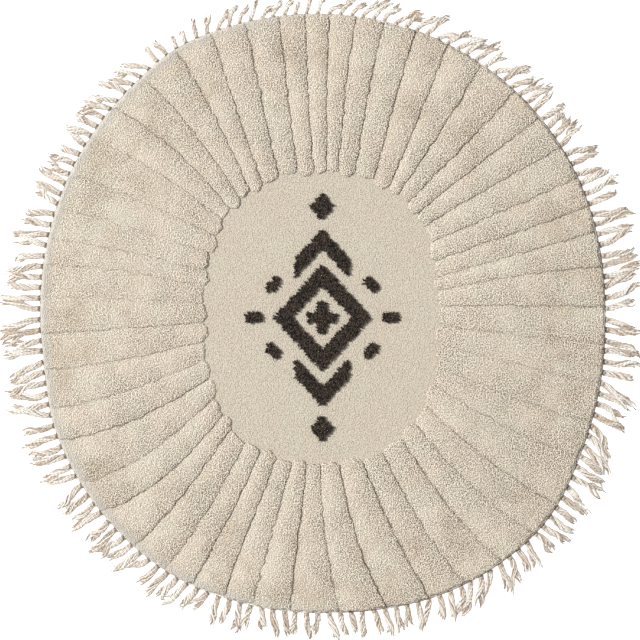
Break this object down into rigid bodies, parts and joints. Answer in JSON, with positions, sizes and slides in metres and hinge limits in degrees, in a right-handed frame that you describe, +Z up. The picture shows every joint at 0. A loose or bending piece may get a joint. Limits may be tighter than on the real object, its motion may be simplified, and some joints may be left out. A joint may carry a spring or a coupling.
{
  "type": "low pile rug",
  "caption": "Round, slightly uneven tufted cotton rug lying flat, with carved ribs fanning out from a flat woven oval, charcoal tufted diamonds and knotted tassels all round.",
  "frame": {"origin": "middle of the flat underside, on the surface that the rug lies on", "axes": "+Z up out of the pile, +Y towards the head of the rug, along the tall way of its oval, +X to the right seen from above"},
  "size_m": [1.1901, 1.2035, 0.0142],
  "materials": {
    "natural_cotton": "undyed oatmeal cotton, low cut pile with a fine flat weave in the middle, matt",
    "charcoal_yarn": "charcoal cotton yarn, dense cut pile, matt",
    "fringe_yarn": "undyed cotton yarn, loosely twisted, matt"
  },
  "bodies": {
    "root": {"rug": "natural_cotton", "motif_lozenge": "charcoal_yarn", "motif_cross": "charcoal_yarn", "motif_chevron_head": "charcoal_yarn", "motif_diamond_head": "charcoal_yarn", "motif_chevron_foot": "charcoal_yarn", "motif_diamond_foot": "charcoal_yarn", "motif_dash_right_upper": "charcoal_yarn", "motif_dash_right_middle": "charcoal_yarn", "motif_dash_right_lower": "charcoal_yarn", "motif_dash_left_upper": "charcoal_yarn", "motif_dash_left_middle": "charcoal_yarn", "motif_dash_left_lower": "charcoal_yarn", "fringe_01": "fringe_yarn", "fringe_02": "fringe_yarn", "fringe_03": "fringe_yarn", "fringe_04": "fringe_yarn", "fringe_05": "fringe_yarn", "fringe_06": "fringe_yarn", "fringe_07": "fringe_yarn", "fringe_08": "fringe_yarn", "fringe_09": "fringe_yarn", "fringe_10": "fringe_yarn", "fringe_11": "fringe_yarn", "fringe_12": "fringe_yarn"}
  },
  "joints": []
}
